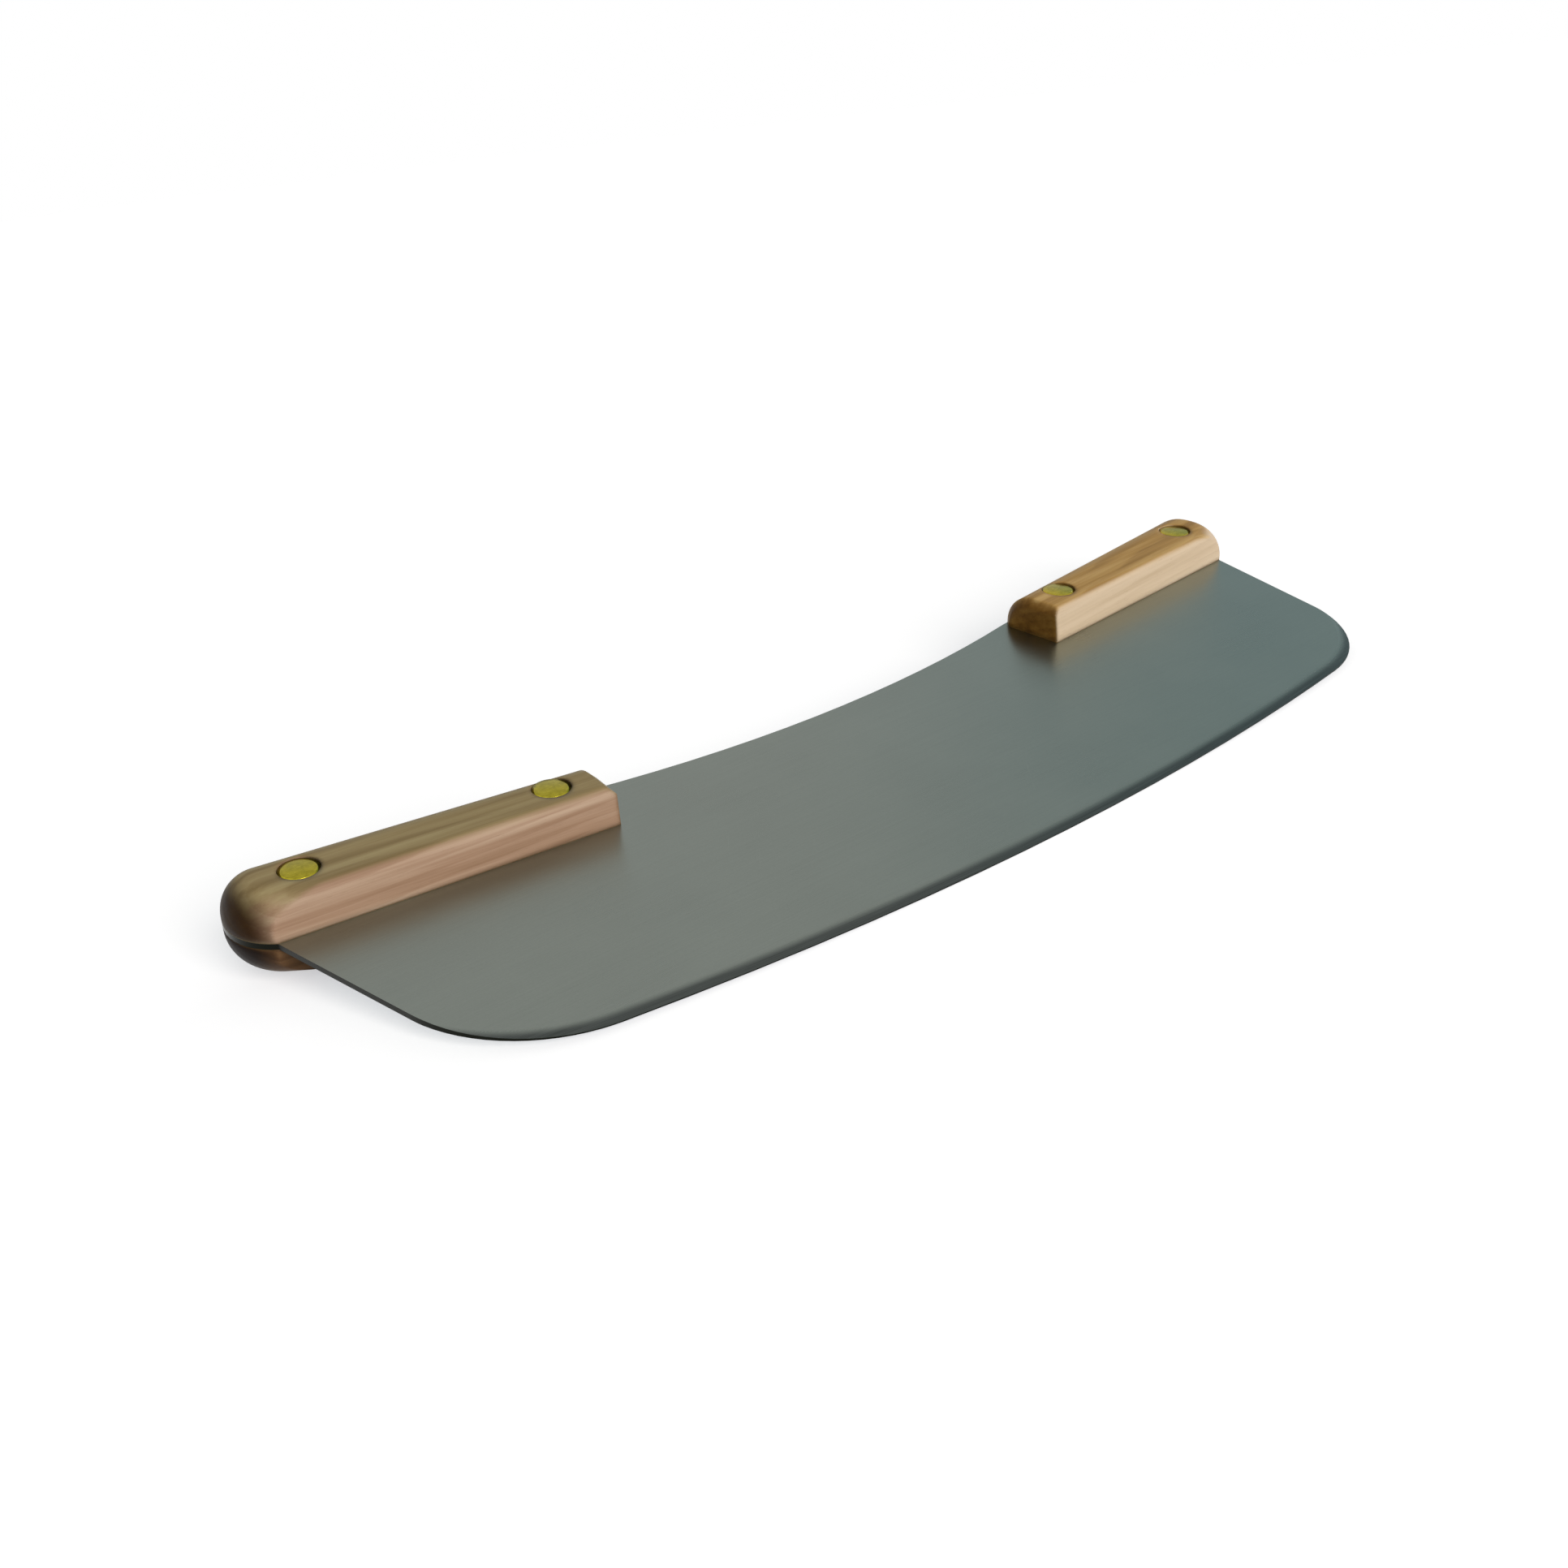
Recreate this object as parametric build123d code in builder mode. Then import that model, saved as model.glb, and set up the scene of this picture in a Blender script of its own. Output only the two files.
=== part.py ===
from build123d import *
import os
from math import asin, atan2, cos, degrees, hypot, radians, sin, sqrt, tan

# Rocking pizza knife: one broad curved blade with a wooden grip at each end of its back.
# Each grip is two wooden scales, one on each face of the blade, held by two brass cutler's
# rivets. A cutler's rivet is a solid male half driven into a tubular female half.
# The knife lies as it does on a worktop, on the inner front corners of its two lower scales
# and on the middle of its cutting edge, so the blade leans forward by a few degrees.
# X runs along the knife, Y towards its back and Z up, and the worktop is at zero height.
# Sizes are in millimetres and degrees.

# Blade
blade_thickness = 1.5
edge_thickness = 0.3
bevel_width = 4.2
bevel_runout = 8.4
spine_height = 3.8
belly_depth = 83.8
belly_radius = 905.0
corner_radius = 39.8
end_slant = 11.9

# Grips, measured on the blade's face along and behind each grip's front line
grip_reach = 170.3
grip_length = 89.7
grip_slope = 5.4
grip_inner_depth = 20.6
end_radius = 15.2
end_front_turn = 60.7
end_back_turn = 51.2

# Scales
scale_thickness = 10.6
front_lean = 7.0
back_round = 9.6
front_round = 2.0
inner_chamfer = 2.2

# Rivets
head_diameter = 10.0
head_thickness = 1.6
head_depth = 0.3
tube_diameter = 4.8
shank_diameter = 3.2
shank_gap = 3.0
inner_rivet_along = 13.4
inner_rivet_back = 10.2
outer_rivet_inset = 10.9
outer_rivet_back = 11.4

# Clearances, and the overrun of every cut
seat_clearance = 0.15
hole_clearance = 0.1
shank_clearance = 0.05
overrun = 1.0

half_blade = blade_thickness / 2
half_edge = edge_thickness / 2
half_handle = half_blade + scale_thickness

# Front line of the right grip, from its inner corner to its outer corner
slope = radians(grip_slope)
along_grip = Vector(cos(slope), sin(slope))
behind_grip = Vector(-sin(slope), cos(slope))
outer_front = Vector(grip_reach, 0)
inner_front = outer_front - along_grip * grip_length


def on_grip(place):
    # A point on the blade's face, from its place along and behind the right grip's front line
    return inner_front + along_grip * place.X + behind_grip * place.Y


# Centre of the blade's rounded corner, which touches both the slanting end and the belly
slant = radians(end_slant)
belly_centre = Vector(0, belly_radius - belly_depth)
down_end = Vector(-sin(slant), -cos(slant))
out_of_end = Vector(cos(slant), -sin(slant))
corner_start = outer_front - out_of_end * corner_radius - belly_centre
lengthwise = corner_start.dot(down_end)
corner_gap = belly_radius - corner_radius
corner_run = -lengthwise + sqrt(lengthwise**2 - corner_start.length**2 + corner_gap**2)
corner_centre = corner_start + down_end * corner_run + belly_centre
out_of_belly = (corner_centre - belly_centre).normalized()
belly_end = corner_centre + out_of_belly * corner_radius
end_foot = corner_centre + out_of_end * corner_radius
corner_middle = corner_centre + (out_of_belly + out_of_end).normalized() * corner_radius

# Rounded outer end of the grip, from its front corner to its back line, placed on the grip
front_turn = radians(end_front_turn)
back_turn = radians(end_back_turn)
front_corner = Vector(grip_length, 0)
end_centre = front_corner + Vector(-cos(front_turn), sin(front_turn)) * end_radius
end_crown = end_centre + Vector(end_radius, 0)
end_back = end_centre + Vector(cos(back_turn), sin(back_turn)) * end_radius
inner_back = Vector(0, grip_inner_depth)

# Outline of the whole blade, which the scales follow: hollow spine, grip backs, rounded grip
# ends, slanting blade ends, rounded corners and the wide shallow belly
with BuildSketch() as outline:
    with BuildLine():
        spine_end = on_grip(inner_back)
        TangentArc((0, spine_height), spine_end, tangent=(1, 0))
        back_end = on_grip(end_back)
        Line(spine_end, back_end)
        ThreePointArc(back_end, on_grip(end_crown), outer_front)
        Line(outer_front, end_foot)
        ThreePointArc(end_foot, corner_middle, belly_end)
        TangentArc((0, -belly_depth), belly_end, tangent=(1, 0))
        mirror(about=Plane.YZ)
    make_face()
    fillet(outline.vertices().group_by(Axis.Y)[-1], radius=back_round)
back_most = outline.sketch.bounding_box().max.Y

# Lean of the lying knife. The worktop touches the rounded front corner of each lower scale
# and the lower corner of the cutting edge in the middle of the belly.
front_draft = tan(radians(front_lean))
corner_back = front_draft * (scale_thickness - front_round) + front_round / cos(radians(front_lean))
touch = on_grip(Vector(inner_chamfer, corner_back))
touch_drop = half_handle - front_round - half_edge
touch_distance = hypot(touch.Y + belly_depth, touch_drop)
lean = atan2(touch_drop, touch.Y + belly_depth) + asin(front_round / touch_distance)

# Middle plane of the blade as the knife lies, with the knife centred on the origin
front_extent = belly_depth * cos(lean) + half_edge * sin(lean)
back_extent = (back_most - back_round) * cos(lean) + (half_handle - back_round) * sin(lean) + back_round
blade_origin = (0, (front_extent - back_extent) / 2, belly_depth * sin(lean) + half_edge * cos(lean))
blade_plane = Plane(blade_origin, x_dir=(1, 0, 0), z_dir=(0, -sin(lean), cos(lean)))

# Right grip's own plane on the middle of the blade, and the rivets' places on it
grip_origin = blade_plane.from_local_coords(inner_front)
grip_direction = blade_plane.from_local_coords(outer_front) - grip_origin
grip_plane = Plane(grip_origin, x_dir=grip_direction, z_dir=blade_plane.z_dir)
rivet_places = {
    "inner": Vector(inner_rivet_along, inner_rivet_back),
    "outer": Vector(grip_length - outer_rivet_inset, outer_rivet_back),
}
hole_radius = tube_diameter / 2 + hole_clearance
seat_radius = head_diameter / 2 + seat_clearance
seat_depth = head_depth + head_thickness
seat_height = half_handle - seat_depth

finished = {}


def keep(name, built):
    # Labels a finished piece and lists it for export
    built.part.label = name
    finished[name] = built.part


# Blade: the outline in sheet steel, ground from both faces to the cutting edge. The bevel is
# a cone about the belly's centre, and at each corner a cone about a centre further back,
# which lets the bevel run out before the slanting end.
bevel_slope = (half_blade - half_edge) / bevel_width
bevel_reach = bevel_width + overrun
belly_turn = degrees(atan2(out_of_belly.X, -out_of_belly.Y))
runout_centre = corner_centre - out_of_belly * bevel_runout
runout_radius = corner_radius - bevel_width + bevel_runout
runout_turn = 90 - end_slant - belly_turn
# Each grind: its centre, its inner radius, the direction it starts in and the turn it makes
grinds = [
    (belly_centre, belly_radius - bevel_width, -belly_turn, 2 * belly_turn),
    (runout_centre, runout_radius, belly_turn, runout_turn),
    (Vector(-runout_centre.X, runout_centre.Y), runout_radius, -belly_turn, -runout_turn),
]
with BuildPart() as blade:
    with BuildSketch(blade_plane.offset(-half_blade)):
        add(outline.sketch)
    extrude(amount=blade_thickness)
    for centre, inner_radius, start_turn, turn in grinds:
        grind_centre = blade_plane.from_local_coords(centre)
        start = Vector(sin(radians(start_turn)), -cos(radians(start_turn)))
        outward = blade_plane.from_local_coords(start) - blade_plane.origin
        grind_plane = Plane(grind_centre, x_dir=outward, z_dir=outward.cross(blade_plane.z_dir))
        for face in (1, -1):
            with BuildSketch(grind_plane):
                with BuildLine():
                    inner = (inner_radius, face * half_blade)
                    outer = (inner_radius + bevel_reach, face * (half_blade - bevel_slope * bevel_reach))
                    far = (inner_radius + bevel_reach, face * (half_blade + overrun))
                    near = (inner_radius, face * (half_blade + overrun))
                    Polyline(inner, outer, far, near, close=True)
                make_face()
            revolve(axis=Axis(grind_centre, blade_plane.z_dir), revolution_arc=turn, mode=Mode.SUBTRACT)
    with BuildSketch(blade_plane.offset(-half_blade)):
        for rivet_place in rivet_places.values():
            hole = on_grip(rivet_place)
            with Locations(hole, (-hole.X, hole.Y)):
                Circle(hole_radius)
    extrude(amount=blade_thickness, mode=Mode.SUBTRACT)
keep("blade", blade)

# Scale, built in the right grip's own frame: X along its front line, Y behind that line and Z
# out of the blade. The block follows the blade's outline and is fully rounded along its back
# and outer end, and its rounded end runs straight on past the front line. The cross-section
# then cuts the leaning front and its softened top edge.
lead_out = Vector(-sin(front_turn), -cos(front_turn)) * (end_radius / cos(front_turn))
with BuildPart() as scale:
    with BuildSketch(Plane.XY.offset(half_blade)) as block:
        with BuildLine():
            Line(inner_back, end_back)
            ThreePointArc(end_back, end_crown, front_corner)
            Polyline(front_corner, front_corner + lead_out, (0, -end_radius), inner_back)
        make_face()
        fillet(block.vertices().group_by(Axis.Y)[-1], radius=back_round)
    extrude(amount=scale_thickness)
    top_edges = scale.faces().sort_by(Axis.Z)[-1].edges()
    back_edge = top_edges.filter_by(GeomType.LINE).sort_by(Axis.Y)[-1]
    fillet(top_edges.filter_by(GeomType.CIRCLE) + [back_edge], radius=back_round)
    chamfer(scale.faces().sort_by(Axis.X)[0].edges().sort_by(Axis.Z)[-1], length=inner_chamfer)
    top_front = front_draft * scale_thickness
    stock = grip_length + end_radius
    with BuildSketch(Plane.YZ) as section:
        with BuildLine():
            Polyline((0, half_blade), (top_front, half_handle), (stock, half_handle), (stock, half_blade), close=True)
        make_face()
        fillet(section.vertices().group_by(Axis.Y)[-1].sort_by(Axis.X)[0], radius=front_round)
    extrude(amount=stock, mode=Mode.INTERSECT)
    for rivet_place in rivet_places.values():
        with Locations(rivet_place + Vector(0, 0, half_handle)):
            CounterBoreHole(hole_radius, seat_radius, seat_depth)

# The right upper scale in its place, and its mirror images
with BuildPart() as right_upper_scale:
    with Locations(grip_plane):
        add(scale.part)
keep("right_upper_scale", right_upper_scale)
with BuildPart() as right_lower_scale:
    mirror(right_upper_scale.part, about=blade_plane)
keep("right_lower_scale", right_lower_scale)
with BuildPart() as left_upper_scale:
    mirror(right_upper_scale.part, about=Plane.YZ)
keep("left_upper_scale", left_upper_scale)
with BuildPart() as left_lower_scale:
    mirror(right_lower_scale.part, about=Plane.YZ)
keep("left_lower_scale", left_lower_scale)

# Rivets, about their own axis from the blade's middle plane: the male half seats in the upper
# scale and the female half in the lower one. The tube nearly reaches the male head, and the
# shank's tip stops short of the female head.
head_radius = head_diameter / 2
tube_radius = tube_diameter / 2
shank_radius = shank_diameter / 2
bore_radius = shank_radius + shank_clearance
crown = seat_height + head_thickness
tip = shank_gap - seat_height
mouth = seat_height - shank_gap / 2
with BuildPart() as male_half:
    with BuildSketch(Plane.XZ):
        with BuildLine():
            Polyline((0, crown), (head_radius, crown), (head_radius, seat_height), (shank_radius, seat_height))
            Polyline((shank_radius, seat_height), (shank_radius, tip), (0, tip), (0, crown))
        make_face()
    revolve(axis=Axis.Z)
with BuildPart() as female_half:
    with BuildSketch(Plane.XZ):
        with BuildLine():
            Polyline((0, -crown), (head_radius, -crown), (head_radius, -seat_height), (tube_radius, -seat_height))
            Polyline((tube_radius, -seat_height), (tube_radius, mouth), (bore_radius, mouth))
            Polyline((bore_radius, mouth), (bore_radius, -seat_height), (0, -seat_height), (0, -crown))
        make_face()
    revolve(axis=Axis.Z)

# Both halves of each rivet in their places
for name, rivet_place in rivet_places.items():
    for half, built in (("male", male_half), ("female", female_half)):
        with BuildPart() as right_half:
            with Locations(grip_plane):
                with Locations(rivet_place):
                    add(built.part)
        keep(f"right_{name}_rivet_{half}", right_half)
        with BuildPart() as left_half:
            mirror(right_half.part, about=Plane.YZ)
        keep(f"left_{name}_rivet_{half}", left_half)

os.makedirs("parts", exist_ok=True)
for name, part in finished.items():
    export_step(part, f"parts/{name}.step")
print("lean", round(degrees(lean), 3), "degrees, blade's middle at", [round(value, 3) for value in blade_origin])
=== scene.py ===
from math import cos, radians, sin

import bmesh
import bpy
from mathutils import Matrix, Vector

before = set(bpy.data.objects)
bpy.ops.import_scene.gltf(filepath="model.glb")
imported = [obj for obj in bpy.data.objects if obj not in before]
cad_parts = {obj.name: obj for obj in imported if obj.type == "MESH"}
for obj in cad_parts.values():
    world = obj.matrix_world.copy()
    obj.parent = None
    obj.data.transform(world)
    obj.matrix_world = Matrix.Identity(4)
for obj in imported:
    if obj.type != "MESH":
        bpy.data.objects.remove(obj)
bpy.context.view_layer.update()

print("knife loaded:", len(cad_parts), "pieces")

# How the knife lies: the blade leans forward about its length, and its middle plane passes
# through this point. Lengths are in metres, angles in degrees.
lyingKnife = {
    "lean": 8.122,
    "bladeMiddle": (0.0, 0.029141, 0.011988),
    "bladeThickness": 0.0015,
    "bellyRadius": 0.905,
    "bellyDepth": 0.0838,
    "gripSlope": 5.4,
    "gripReach": 0.1703,
    "gripLength": 0.0897,
    "innerRivet": (0.0134, 0.0102),   # out along the grip and back from its corner
    "outerRivet": (0.0788, 0.0114),
}
gripSides = {"left": -1, "right": 1}
millimetres = 1000.0                  # in a metre

lean = radians(lyingKnife["lean"])
lengthwise = Vector((1, 0, 0))
backwards = Vector((0, cos(lean), sin(lean)))
outOfBlade = Vector((0, -sin(lean), cos(lean)))
bladeMiddle = Vector(lyingKnife["bladeMiddle"])


def bladeDirection(v):
    return lengthwise * v[0] + backwards * v[1] + outOfBlade * v[2]


def gripAxes(grip):
    # a grip's front inner corner on the blade's middle plane, and the ways out along it and back
    side = gripSides[grip]
    slope = radians(lyingKnife["gripSlope"])
    outward = lengthwise * side * cos(slope) + backwards * sin(slope)
    behind = backwards * cos(slope) - lengthwise * side * sin(slope)
    reach = bladeMiddle + lengthwise * side * lyingKnife["gripReach"]
    return reach - outward * lyingKnife["gripLength"], outward, behind


# The photograph's camera
photoCamera = {
    "lens": 40.517,
    "sensor": 36.0,
    "clip": (0.01, 20),
    "unit": 0.0017,                   # metres in one unit of the solved view
    "place": (-172.818, -193.959, 132.355),    # from the middle of the blade's upper face
    "towardsCamera": (-0.557006, -0.672007, 0.488007),
    "roll": 1.13,
}


def setCamera(view):
    camera = bpy.data.cameras.new("photoCamera")
    camera.lens = view["lens"]
    camera.sensor_width = view["sensor"]
    camera.clip_start, camera.clip_end = view["clip"]
    cameraObject = bpy.data.objects.new("photoCamera", camera)
    bpy.context.scene.collection.objects.link(cameraObject)
    look = -Vector(view["towardsCamera"])
    right = look.cross(Vector((0, 0, 1))).normalized()
    down = look.cross(right)
    roll = radians(view["roll"])
    right, down = right * cos(roll) + down * sin(roll), down * cos(roll) - right * sin(roll)
    turn = Matrix([bladeDirection(right), -bladeDirection(down), -bladeDirection(look)]).transposed()
    upperFace = bladeMiddle + outOfBlade * lyingKnife["bladeThickness"] / 2
    where = upperFace + bladeDirection(view["place"]) * view["unit"]
    cameraObject.matrix_world = Matrix.Translation(where) @ turn.to_4x4()
    bpy.context.scene.camera = cameraObject


setCamera(photoCamera)
print("camera set")


# Small helpers for node trees
def newMaterial(name):
    material = bpy.data.materials.new(name)
    material.use_nodes = True
    tree = material.node_tree
    tree.nodes.clear()
    output = tree.nodes.new("ShaderNodeOutputMaterial")
    return material, tree, output


def addNode(tree, kind, inputs=None, **settings):
    node = tree.nodes.new(kind)
    for name, value in settings.items():
        setattr(node, name, value)
    for name, value in (inputs or {}).items():
        if isinstance(value, bpy.types.NodeSocket):
            tree.links.new(value, node.inputs[name])
        else:
            node.inputs[name].default_value = value
    return node


def maths(tree, operation, first, second=0.0, third=0.0):
    inputs = {0: first, 1: second, 2: third}
    return addNode(tree, "ShaderNodeMath", inputs, operation=operation).outputs[0]


def vectorMaths(tree, operation, first, second=(0, 0, 0)):
    return addNode(tree, "ShaderNodeVectorMath", {0: first, 1: second}, operation=operation).outputs


def weighed(tree, start, *parts):
    # a start, and each value times its weight added to it
    for value, weight in parts:
        start = maths(tree, "MULTIPLY_ADD", value, weight, start)
    return start


def swing(tree, middle, value, spread):
    # a 0 to 1 value turned into a swing of that spread about a middle
    return weighed(tree, middle, (maths(tree, "SUBTRACT", value, 0.5), spread))


def between(tree, value, low, high, toLow=0.0, toHigh=1.0):
    # smooth step of a value from low to high
    inputs = {"Value": value, "From Min": low, "From Max": high, "To Min": toLow, "To Max": toHigh}
    node = addNode(tree, "ShaderNodeMapRange", inputs, interpolation_type="SMOOTHSTEP")
    return node.outputs["Result"]


def mixColour(tree, amount, first, second, how="MIX"):
    node = addNode(tree, "ShaderNodeMix", {0: amount, 6: first, 7: second},
                   data_type="RGBA", blend_type=how)
    return node.outputs[2]


def grey(value):
    return (value, value, value, 1.0)


def noiseOf(tree, point, scale=1.0, detail=3.0, roughness=0.55, seed=None):
    inputs = {"Vector": point, "Scale": scale, "Detail": detail, "Roughness": roughness}
    if seed is None:
        return addNode(tree, "ShaderNodeTexNoise", inputs).outputs["Fac"]
    inputs["W"] = seed
    return addNode(tree, "ShaderNodeTexNoise", inputs, noise_dimensions="4D").outputs["Fac"]


def stretched(tree, point, factors):
    return vectorMaths(tree, "MULTIPLY", point, factors)[0]


def combined(tree, x, y=0.0, z=0.0):
    return addNode(tree, "ShaderNodeCombineXYZ", {0: x, 1: y, 2: z}).outputs[0]


def softNormal(tree, radius, samples):
    # the surface's normal as if its edges were rounded
    return addNode(tree, "ShaderNodeBevel", {"Radius": radius}, samples=samples).outputs[0]


def placeIn(tree, origin, first, second, third):
    # millimetres from an origin along three directions, for any point of a piece
    coordinates = addNode(tree, "ShaderNodeTexCoord").outputs["Object"]
    turn = Matrix([first, second, third])
    inputs = {"Vector": coordinates, "Location": turn @ (origin * -millimetres),
              "Rotation": turn.to_euler(), "Scale": (millimetres,) * 3}
    return addNode(tree, "ShaderNodeMapping", inputs, vector_type="POINT").outputs["Vector"]


def placeOnGrip(tree, origin, grip):
    # the first direction runs to the knife's right, so the set is right-handed on either grip
    outward, behind = gripAxes(grip)[1:]
    return placeIn(tree, origin, outward * gripSides[grip], behind, outOfBlade)


def facing(tree, direction, normal=None):
    # how squarely the surface, or a softened normal of it, faces a fixed direction
    normal = normal or addNode(tree, "ShaderNodeNewGeometry").outputs["True Normal"]
    return vectorMaths(tree, "DOT_PRODUCT", normal, direction)["Value"]


def rampOf(tree, value, places, colours):
    node = addNode(tree, "ShaderNodeValToRGB", {"Fac": value})
    elements = node.color_ramp.elements
    while len(elements) > 1:
        elements.remove(elements[-1])
    elements[0].position, elements[0].color = places[0], colours[0]
    for place, colour in zip(places[1:], colours[1:]):
        elements.new(place).color = colour
    return node.outputs["Color"]


# Satin stainless sheet of the blade, with its ground edge
satinSteel = {
    "sheet": (0.252, 0.280, 0.249, 1.0),
    "sheetPale": (0.300, 0.331, 0.296, 1.0),
    "ground": (0.068, 0.078, 0.072, 1.0),
    "groundPale": (0.135, 0.150, 0.142, 1.0),
    "shadedRim": (0.011, 0.012, 0.009, 1.0),
    "hairline": (0.45, 0.48, 0.44, 1.0),
    "grainLength": 14.0,              # millimetres
    "grainWidth": 0.10,
    "longGrain": (0.25, 0.35, 0.35),  # the grain's noise, drawn out further
    "toothScale": 2.2,
    "cloudSize": 38.0,
    "grainShare": 0.45,               # what each brings to the tone of the sheet
    "longGrainShare": 0.25,
    "toothShare": 0.30,
    "cloudShare": 0.35,
    "toneRange": (0.35, 1.0),
    "grindRange": (0.74, 0.36),       # millimetres off the middle plane: shade begins, shade full
    "grindRun": 0.04,                 # grinding lines along the belly and across it
    "grindPitch": 7.0,
    "grindTone": (0.35, 0.75),
    "rimRange": (0.9, 0.7),           # how squarely a face looks out of the sheet
    "hairlineTurns": ((0.35, 3.1), (-0.9, 8.4)),    # radians and noise seed
    "hairlineShape": (0.03, 3.4, 0.0),
    "hairlineRange": (0.735, 0.78),
    "patchScale": 0.05,               # hairlines come in patches
    "patchRange": (0.52, 0.66),
    "patchSeed": 2.0,
    "hairlineShow": 0.25,
    "hairlineDepth": -0.8,            # against the height of the grain
    "roughness": 0.285,
    "grainRoughness": 0.03,
    "cloudRoughness": 0.08,
    "grindRoughness": -0.06,
    "anisotropy": 0.60,               # the lengthwise grain blurs what it mirrors across itself
    "grainDepth": 0.000003,           # metres
    "grainStrength": 0.25,
}


def makeSatinSteel(look):
    material, tree, output = newMaterial("satinSteel")
    point = placeIn(tree, bladeMiddle, lengthwise, backwards, outOfBlade)
    finest = 1 / look["grainWidth"]
    grainPoint = stretched(tree, point, (1 / look["grainLength"], finest, finest))
    grain = noiseOf(tree, grainPoint, detail=4.0, roughness=0.65)
    longGrain = noiseOf(tree, stretched(tree, grainPoint, look["longGrain"]), detail=2.0)
    clouds = noiseOf(tree, point, 1 / look["cloudSize"], roughness=0.5)
    tooth = noiseOf(tree, point, look["toothScale"], detail=2.0, roughness=0.7)
    tone = weighed(tree, 0.0, (grain, look["grainShare"]), (longGrain, look["longGrainShare"]),
                   (tooth, look["toothShare"]), (clouds, look["cloudShare"]))
    sheet = mixColour(tree, between(tree, tone, *look["toneRange"]), look["sheet"], look["sheetPale"])
    # the ground bevel is painted darker towards the edge, as painted shade for the darker reflection
    # of its tilted faces, and its grinding lines follow the belly's arc
    split = addNode(tree, "ShaderNodeSeparateXYZ", {0: point})
    offMiddle = maths(tree, "ABSOLUTE", split.outputs["Z"])
    bevel = between(tree, offMiddle, *look["grindRange"])
    arcCentre = millimetres * (lyingKnife["bellyDepth"] - lyingKnife["bellyRadius"])
    fromCentre = vectorMaths(tree, "ADD", point, (0, arcCentre, 0))[0]
    across = vectorMaths(tree, "LENGTH", fromCentre)["Value"]
    grindPoint = combined(tree, maths(tree, "MULTIPLY", split.outputs["X"], look["grindRun"]),
                          maths(tree, "MULTIPLY", across, look["grindPitch"]))
    grind = noiseOf(tree, grindPoint, roughness=0.7)
    grindTone = between(tree, grind, *look["grindTone"])
    ground = mixColour(tree, grindTone, look["ground"], look["groundPale"])
    colour = mixColour(tree, bevel, sheet, ground)
    # the cut rim round the sheet is painted near black: painted shade
    square = maths(tree, "ABSOLUTE", facing(tree, outOfBlade))
    colour = mixColour(tree, between(tree, square, *look["rimRange"]), colour, look["shadedRim"])
    # hairline scratches at two angles
    marks = 0.0
    for turn, seed in look["hairlineTurns"]:
        turned = addNode(tree, "ShaderNodeVectorRotate",
                         {"Vector": point, "Axis": (0, 0, 1), "Angle": turn}).outputs[0]
        line = noiseOf(tree, stretched(tree, turned, look["hairlineShape"]), detail=1.0, seed=seed)
        patch = noiseOf(tree, point, look["patchScale"], detail=1.0, seed=seed + look["patchSeed"])
        hair = between(tree, line, *look["hairlineRange"])
        marks = weighed(tree, marks, (hair, between(tree, patch, *look["patchRange"])))
    showing = maths(tree, "MULTIPLY", marks, look["hairlineShow"])
    colour = mixColour(tree, showing, colour, look["hairline"])
    roughness = swing(tree, look["roughness"], grain, look["grainRoughness"])
    roughness = swing(tree, roughness, clouds, look["cloudRoughness"])
    roughness = weighed(tree, roughness, (bevel, look["grindRoughness"]))
    height = weighed(tree, grain, (marks, look["hairlineDepth"]))
    bump = addNode(tree, "ShaderNodeBump",
                   {"Strength": look["grainStrength"], "Distance": look["grainDepth"],
                    "Height": mixColour(tree, bevel, height, grind)})
    shader = addNode(tree, "ShaderNodeBsdfPrincipled",
                     {"Base Color": colour, "Metallic": 1.0, "Roughness": roughness,
                      "Normal": bump.outputs[0], "Anisotropic": look["anisotropy"],
                      "Tangent": combined(tree, *backwards)})
    tree.links.new(shader.outputs[0], output.inputs["Surface"])
    return material


# Oiled wood of the scales: one log, with its own cut in each scale. Shapes are noise for each
# millimetre along the grip, back across it and out of the blade.
oiledWood = {
    "ringWidth": 2.6,                 # millimetres
    "ringRise": (0.10, 0.85),         # shares of a ring where the late wood comes in
    "ringFall": (1.0, 0.88),          # and where it breaks off
    "sway": 3.2,
    "swayShape": (0.018, 0.05, 0.05),
    "ripple": 0.9,
    "rippleShape": (0.06, 0.30, 0.30),
    "fibreLength": 24.0,
    "fibreWidth": 0.32,
    "fibreShow": 0.34,
    "streakLength": 95.0,
    "streakWidth": 3.1,
    "poreShape": (0.45, 6.5, 6.5),
    "poreRange": (0.66, 0.74),
    "poreShow": 0.22,
    "baseTone": 0.22,
    "tonePlaces": (0.12, 0.48, 0.92),    # pale, middle and dark
    "frontRange": (0.22, 0.88),       # how squarely a face looks forward to have the front's colours
    "frontWander": 0.9,               # how far the streaks shift that line
    "endRange": (0.30, 0.82),
    "jointShadeWidth": 0.5,
    "jointShadeShow": 0.5,
    "roughness": 0.46,
    "fibreRoughness": 0.16,
    "lateWoodRoughness": -0.05,
    "ior": 1.45,
    "specular": 0.09,
    "fibreDepth": 0.00004,            # metres
    "fibreStrength": 0.5,
    "lateWoodHeight": 0.4,
    "edgeSoftness": 0.0026,
}
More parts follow.
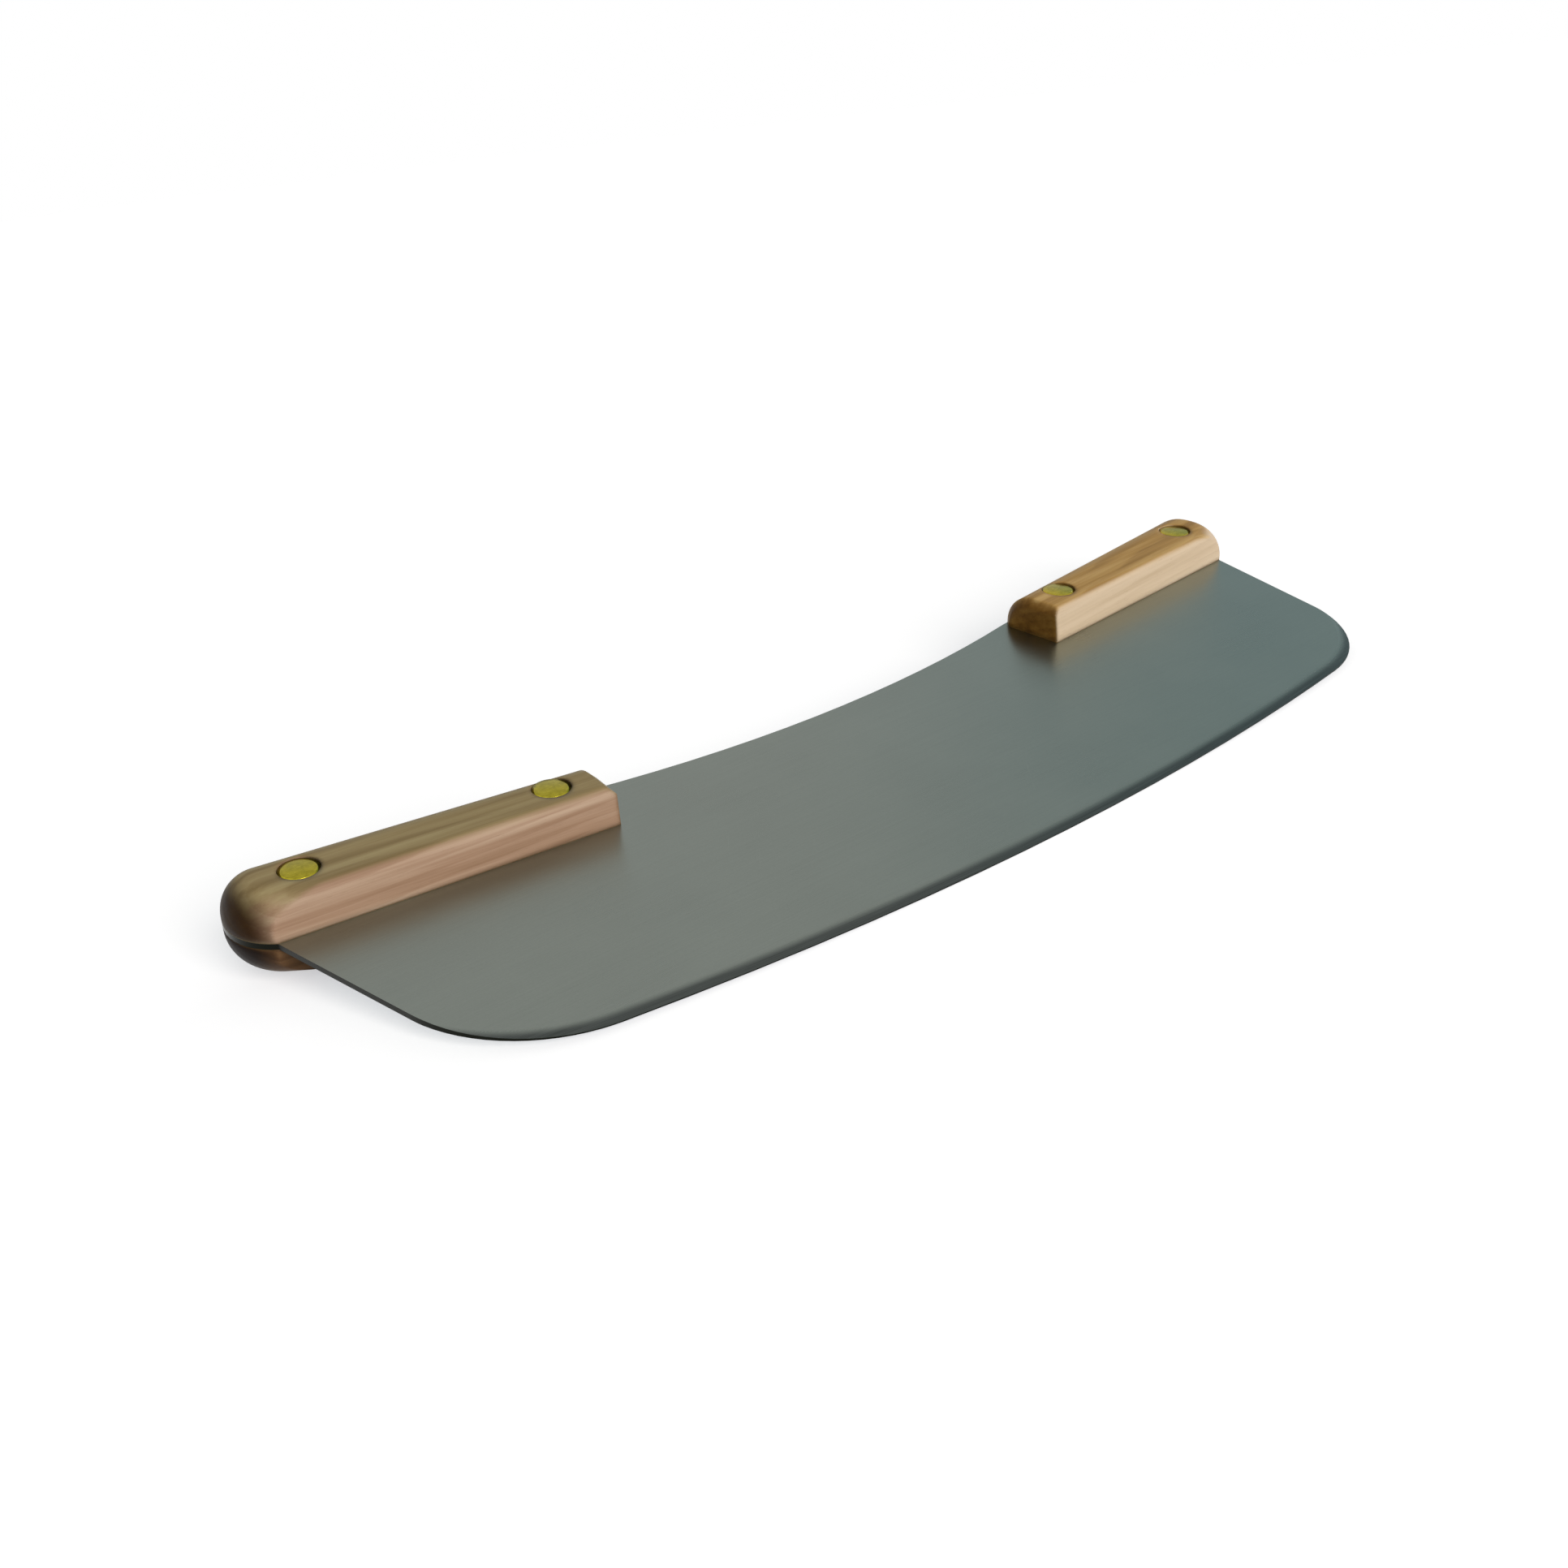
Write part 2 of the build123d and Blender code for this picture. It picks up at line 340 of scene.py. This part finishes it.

# Each scale: the grip it is on, the pith's place behind and above the grip's corner, how far
# the log's line drifts over each millimetre of grip, its noise seed, how strongly rings and
# streaks show, its colours from pale to dark on the top and on the front, where the top's are
# painted darker as shade and the front's lighter as painted light from a lamp low in front, and
# what its two cut ends multiply them by: the end grain's darkening, with painted shade on the
# ends turned to the left
woodCuts = {
    # the left grip's colours are set darker than the right's: partly a different wood, partly painted
    # shade for light falling from the right
    "left_upper_scale": {
        "grip": "left", "pith": (-14.0, 60.0), "drift": (0.02, -0.035),
        "seed": 2.3, "rings": 0.14, "streaks": 1.5,
        "top": ((0.38, 0.305, 0.160, 1.0), (0.295, 0.222, 0.108, 1.0), (0.175, 0.119, 0.048, 1.0)),
        "front": ((0.51, 0.365, 0.270, 1.0), (0.370, 0.235, 0.160, 1.0), (0.245, 0.140, 0.082, 1.0)),
        "outerEndGrainAndShade": (0.080, 0.044, 0.005, 1.0), "innerEndGrainAndShade": (0.85, 0.76, 0.66, 1.0),
    },
    # the lower scales' colours are painted darker than the upper ones': painted shade under the blade
    "left_lower_scale": {
        "grip": "left", "pith": (-30.0, 42.0), "drift": (0.03, 0.04),
        "seed": 5.9, "rings": 0.2, "streaks": 1.1,
        "top": ((0.15, 0.095, 0.040, 1.0), (0.105, 0.062, 0.022, 1.0), (0.060, 0.034, 0.011, 1.0)),
        "front": ((0.17, 0.095, 0.045, 1.0), (0.12, 0.062, 0.028, 1.0), (0.07, 0.034, 0.013, 1.0)),
        "outerEndGrainAndShade": (0.06, 0.03, 0.01, 1.0), "innerEndGrainAndShade": (0.6, 0.5, 0.4, 1.0),
    },
    "right_upper_scale": {
        "grip": "right", "pith": (-7.0, -38.0), "drift": (0.03, -0.06),
        "seed": 11.7, "rings": 0.14, "streaks": 1.6,
        "top": ((0.62, 0.415, 0.170, 1.0), (0.455, 0.268, 0.085, 1.0), (0.215, 0.108, 0.024, 1.0)),
        "front": ((0.70, 0.565, 0.425, 1.0), (0.655, 0.515, 0.372, 1.0), (0.555, 0.420, 0.285, 1.0)),
        "outerEndGrainAndShade": (0.95, 0.85, 0.74, 1.0), "innerEndGrainAndShade": (0.32, 0.25, 0.12, 1.0),
    },
    # painted darker than the upper scale, as painted shade under the blade
    "right_lower_scale": {
        "grip": "right", "pith": (-20.0, 38.0), "drift": (-0.05, 0.06),
        "seed": 17.2, "rings": 0.2, "streaks": 1.1,
        "top": ((0.34, 0.215, 0.085, 1.0), (0.25, 0.145, 0.046, 1.0), (0.14, 0.070, 0.018, 1.0)),
        "front": ((0.56, 0.43, 0.29, 1.0), (0.47, 0.345, 0.22, 1.0), (0.32, 0.205, 0.11, 1.0)),
        "outerEndGrainAndShade": (0.85, 0.76, 0.66, 1.0), "innerEndGrainAndShade": (0.30, 0.22, 0.10, 1.0),
    },
}


def makeOiledWood(name, look, cut):
    material, tree, output = newMaterial("oiledWood_" + name)
    corner, outward, behind = gripAxes(cut["grip"])
    point = placeOnGrip(tree, corner, cut["grip"])
    split = addNode(tree, "ShaderNodeSeparateXYZ", {0: point})
    soft = softNormal(tree, look["edgeSoftness"], 8)
    seed = cut["seed"]
    # growth rings: distance from the pith, which drifts along the piece
    sway = noiseOf(tree, stretched(tree, point, look["swayShape"]), detail=2.0, seed=seed)
    ripple = noiseOf(tree, stretched(tree, point, look["rippleShape"]), seed=seed + 1)
    squares = []
    for axis, pith, drift in zip("YZ", cut["pith"], cut["drift"]):
        offset = weighed(tree, split.outputs[axis], (split.outputs["X"], drift))
        squares.append(maths(tree, "POWER", maths(tree, "SUBTRACT", offset, pith), 2.0))
    radius = maths(tree, "SQRT", maths(tree, "ADD", squares[0], squares[1]))
    radius = swing(tree, radius, sway, look["sway"])
    radius = swing(tree, radius, ripple, look["ripple"])
    ring = maths(tree, "FRACT", maths(tree, "DIVIDE", radius, look["ringWidth"]))
    lateWood = maths(tree, "MULTIPLY", between(tree, ring, *look["ringRise"]),
                     between(tree, ring, *look["ringFall"]))
    # fibres, streaks and pores, drawn out along the grain
    finest = 1 / look["fibreWidth"]
    fibrePoint = stretched(tree, point, (1 / look["fibreLength"], finest, finest))
    fibre = noiseOf(tree, fibrePoint, detail=4.0, roughness=0.6, seed=seed + 2)
    narrow = 1 / look["streakWidth"]
    streakPoint = stretched(tree, point, (1 / look["streakLength"], narrow, narrow))
    streak = noiseOf(tree, streakPoint, detail=4.0, seed=seed + 3)
    pore = noiseOf(tree, stretched(tree, point, look["poreShape"]), detail=1.0, seed=seed + 4)
    pore = between(tree, pore, *look["poreRange"])
    tone = weighed(tree, look["baseTone"], (lateWood, cut["rings"]), (fibre, look["fibreShow"]))
    tone = swing(tree, tone, streak, cut["streaks"])
    # the top's colours are painted darker and the front's lighter: painted shade and painted light of
    # a lamp low in front
    top = rampOf(tree, tone, look["tonePlaces"], cut["top"])
    front = rampOf(tree, tone, look["tonePlaces"], cut["front"])
    wander = swing(tree, 0.0, streak, look["frontWander"])
    forward = maths(tree, "SUBTRACT", wander, facing(tree, behind, soft))
    colour = mixColour(tree, between(tree, forward, *look["frontRange"]), top, front)
    dark = cut["top"][2]
    colour = mixColour(tree, maths(tree, "MULTIPLY", pore, look["poreShow"]), colour, dark)
    # cut ends go darker: the end grain's own darkening, and painted shade on the ends turned to the
    # left
    endwise = facing(tree, outward, soft)
    for end, sign in (("outerEndGrainAndShade", 1), ("innerEndGrainAndShade", -1)):
        amount = between(tree, endwise, *(sign * limit for limit in look["endRange"]))
        endGrainAndShade = mixColour(tree, 1.0, colour, cut[end], "MULTIPLY")
        colour = mixColour(tree, amount, colour, endGrainAndShade)
    # a thin darker line along the joint with the blade: painted shade where the wood meets the steel
    halfBlade = millimetres * lyingKnife["bladeThickness"] / 2
    fromFace = maths(tree, "SUBTRACT", maths(tree, "ABSOLUTE", split.outputs["Z"]), halfBlade)
    jointShade = between(tree, fromFace, look["jointShadeWidth"], 0.0)
    colour = mixColour(tree, maths(tree, "MULTIPLY", jointShade, look["jointShadeShow"]), colour, dark)
    roughness = swing(tree, look["roughness"], fibre, look["fibreRoughness"])
    roughness = weighed(tree, roughness, (lateWood, look["lateWoodRoughness"]))
    height = weighed(tree, fibre, (lateWood, look["lateWoodHeight"]), (pore, -1.0))
    bump = addNode(tree, "ShaderNodeBump",
                   {"Strength": look["fibreStrength"], "Distance": look["fibreDepth"],
                    "Height": height, "Normal": soft})
    shader = addNode(tree, "ShaderNodeBsdfPrincipled",
                     {"Base Color": colour, "Roughness": roughness, "Normal": bump.outputs[0],
                      "IOR": look["ior"], "Specular IOR Level": look["specular"]})
    tree.links.new(shader.outputs[0], output.inputs["Surface"])
    return material


# Brass of the rivets, turned and then sanded flush
sandedBrass = {
    "bright": {"left": (0.520, 0.440, 0.034, 1.0), "right": (0.660, 0.505, 0.040, 1.0)},
    "dull": {"left": (0.355, 0.298, 0.017, 1.0), "right": (0.465, 0.345, 0.021, 1.0)},
    "rimShadeAndTarnish": (0.050, 0.038, 0.008, 1.0),
    "sandingShape": (0.5, 7.0, 7.0),
    "sandingShare": 0.45,             # what each brings to the tone of the brass
    "stainShare": 0.55,
    "stainScale": 0.55,
    "toneRange": (0.35, 0.65),
    "headRadius": 5.0,                # millimetres
    "rimShadeAndTarnishRange": (0.93, 1.0),      # shares of the radius
    "rimShadeAndTarnishShow": 0.85,
    "roughness": 0.24,
    "stainRoughness": 0.22,
    "tarnishRoughness": 0.15,
    "crownHeight": 0.00045,           # metres
    "rimFrom": 0.84,                  # share of the radius where the crown turns down
    "rimDrop": 1.1,                   # crown heights that it falls by there
    "edgeSoftness": 0.0004,
    "turningPitch": 6.0,
    "turningHeight": 0.4,             # against the height of the sanding marks
    "markDepth": 0.00002,
    "markStrength": 0.4,
}


def makeSandedBrass(name, look, grip, place):
    material, tree, output = newMaterial("sandedBrass_" + name)
    corner, outward, behind = gripAxes(grip)
    point = placeOnGrip(tree, corner + outward * place[0] + behind * place[1], grip)
    radius = vectorMaths(tree, "LENGTH", stretched(tree, point, (1.0, 1.0, 0.0)))["Value"]
    share = maths(tree, "DIVIDE", radius, look["headRadius"])
    sanding = noiseOf(tree, stretched(tree, point, look["sandingShape"]), roughness=0.7)
    stain = noiseOf(tree, point, look["stainScale"])
    tone = weighed(tree, 0.0, (sanding, look["sandingShare"]), (stain, look["stainShare"]))
    colour = mixColour(tree, between(tree, tone, *look["toneRange"]),
                       look["dull"][grip], look["bright"][grip])
    # a dark ring at the head's rim: tarnish, and painted shade of the seat round it
    edge = between(tree, share, *look["rimShadeAndTarnishRange"])
    rimShadedAndTarnished = maths(tree, "MULTIPLY", edge, look["rimShadeAndTarnishShow"])
    colour = mixColour(tree, rimShadedAndTarnished, colour, look["rimShadeAndTarnish"])
    roughness = swing(tree, look["roughness"], tone, look["stainRoughness"])
    roughness = weighed(tree, roughness, (edge, look["tarnishRoughness"]))
    crown = maths(tree, "SUBTRACT", 1.0, maths(tree, "MULTIPLY", share, share))
    crown = maths(tree, "ADD", crown, between(tree, share, 1.0, look["rimFrom"], 0.0, look["rimDrop"]))
    domed = addNode(tree, "ShaderNodeBump",
                    {"Strength": 1.0, "Distance": look["crownHeight"], "Height": crown,
                     "Normal": softNormal(tree, look["edgeSoftness"], 6)}).outputs[0]
    turningPoint = combined(tree, maths(tree, "MULTIPLY", radius, look["turningPitch"]))
    turning = noiseOf(tree, turningPoint, detail=2.0)
    height = weighed(tree, sanding, (turning, look["turningHeight"]))
    bump = addNode(tree, "ShaderNodeBump",
                   {"Strength": look["markStrength"], "Distance": look["markDepth"],
                    "Height": height, "Normal": domed})
    shader = addNode(tree, "ShaderNodeBsdfPrincipled",
                     {"Base Color": colour, "Metallic": 1.0, "Roughness": roughness,
                      "Normal": bump.outputs[0]})
    tree.links.new(shader.outputs[0], output.inputs["Surface"])
    return material


def dress(node, material):
    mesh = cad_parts[node].data
    mesh.materials.clear()
    mesh.materials.append(material)


dress("blade", makeSatinSteel(satinSteel))
print("blade: satin steel")
for scaleName, cut in woodCuts.items():
    dress(scaleName, makeOiledWood(scaleName, oiledWood, cut))
print("scales: oiled wood")
for grip in gripSides:
    for rivet in ("inner", "outer"):
        brass = makeSandedBrass(grip + "_" + rivet, sandedBrass, grip, lyingKnife[rivet + "Rivet"])
        for half in ("male", "female"):
            dress(f"{grip}_{rivet}_rivet_{half}", brass)
print("rivets: sanded brass")

# Pale floor, white surroundings and soft studio light
studio = {
    "floorRadius": 4.0,
    "floorColour": 0.82,
    "floorTooth": 0.97,               # the shade of its finest specks
    "toothScale": 900.0,
    "floorLift": 0.535,               # brings the lit floor up to white, and leaves the shadow
    "liftColour": (0.94, 0.95, 1.0, 1.0),
    "liftRange": (0.24, 0.55),        # metres: here the floor fades into the white surroundings
    "ambient": 0.32,
    "ambientColour": (0.97, 1.0, 0.94, 1.0),
    "dimSide": (0.527, 0.586, 0.616),    # the dimmer room behind the knife, as metal mirrors it
    "dimRange": (0.26, 0.72),
    "dimColour": (0.65, 0.65, 0.65, 1.0),
    "coolSide": (0.90, 0.25, 0.36),   # and its cooler side at the right
    "coolRange": (0.84, 0.98),
    "coolColour": (0.55, 0.72, 0.77, 1.0),
}

# Each lamp: the direction it stands in, its strength, how wide it looks in degrees, its colour
lamps = {
    "windowLight": {"from": (-0.16, -1.45, 0.76), "strength": 2.25, "width": 34.0,
                    "colour": (1.0, 0.95, 0.90)},
    "glintLight": {"from": (1.60, 0.45, 0.24), "strength": 0.30, "width": 7.0,
                   "colour": (1.0, 0.98, 0.94)},
}


def seenRays(tree):
    # 1 where the camera, a reflection or a refraction looks and 0 for soft light, and the
    # reflections alone
    path = addNode(tree, "ShaderNodeLightPath").outputs
    seen = maths(tree, "MAXIMUM", path["Is Camera Ray"], path["Is Glossy Ray"])
    return maths(tree, "MAXIMUM", seen, path["Is Transmission Ray"]), path["Is Glossy Ray"]


def makeFloor(look):
    mesh = bpy.data.meshes.new("worktop")
    shape = bmesh.new()
    bmesh.ops.create_circle(shape, cap_ends=True, segments=96, radius=look["floorRadius"])
    shape.to_mesh(mesh)
    shape.free()
    floor = bpy.data.objects.new("worktop", mesh)
    bpy.context.scene.collection.objects.link(floor)
    material, tree, output = newMaterial("paleWorktop")
    point = addNode(tree, "ShaderNodeTexCoord").outputs["Object"]
    tooth = noiseOf(tree, point, look["toothScale"], detail=2.0)
    colour = mixColour(tree, tooth, grey(look["floorColour"]),
                       grey(look["floorColour"] * look["floorTooth"]))
    matt = addNode(tree, "ShaderNodeBsdfDiffuse", {"Color": colour})
    far = vectorMaths(tree, "LENGTH", point)["Value"]
    amount = between(tree, far, *look["liftRange"], look["floorLift"], 1.0)
    strength = maths(tree, "MULTIPLY", seenRays(tree)[0], amount)
    lift = addNode(tree, "ShaderNodeEmission", {"Color": look["liftColour"], "Strength": strength})
    both = addNode(tree, "ShaderNodeAddShader", {0: matt.outputs[0], 1: lift.outputs[0]})
    tree.links.new(both.outputs[0], output.inputs["Surface"])
    mesh.materials.append(material)


def makeSurroundings(look):
    world = bpy.data.worlds.new("studio")
    world.use_nodes = True
    tree = world.node_tree
    tree.nodes.clear()
    output = tree.nodes.new("ShaderNodeOutputWorld")
    seen, glossy = seenRays(tree)
    towards = addNode(tree, "ShaderNodeTexCoord").outputs["Generated"]
    mirrored = grey(1.0)
    for part in ("dim", "cool"):
        side = vectorMaths(tree, "DOT_PRODUCT", towards, look[part + "Side"])["Value"]
        amount = maths(tree, "MULTIPLY", between(tree, side, *look[part + "Range"]), glossy)
        mirrored = mixColour(tree, amount, mirrored, look[part + "Colour"], "MULTIPLY")
    ambient = addNode(tree, "ShaderNodeBackground",
                      {"Color": look["ambientColour"], "Strength": look["ambient"]})
    white = addNode(tree, "ShaderNodeBackground", {"Color": mirrored, "Strength": 1.0})
    mix = addNode(tree, "ShaderNodeMixShader", {0: seen, 1: ambient.outputs[0], 2: white.outputs[0]})
    tree.links.new(mix.outputs[0], output.inputs["Surface"])
    bpy.context.scene.world = world


def makeLamp(name, lamp):
    light = bpy.data.lights.new(name, "SUN")
    light.energy = lamp["strength"]
    light.angle = radians(lamp["width"])
    light.color = lamp["colour"]
    lampObject = bpy.data.objects.new(name, light)
    place = Vector(lamp["from"])
    aim = (-place).to_track_quat("-Z", "Y")
    lampObject.matrix_world = Matrix.Translation(place) @ aim.to_matrix().to_4x4()
    bpy.context.scene.collection.objects.link(lampObject)


makeFloor(studio)
makeSurroundings(studio)
for lampName, lamp in lamps.items():
    makeLamp(lampName, lamp)
bpy.context.scene.view_settings.view_transform = "Standard"
print("floor, surroundings and lamps set")
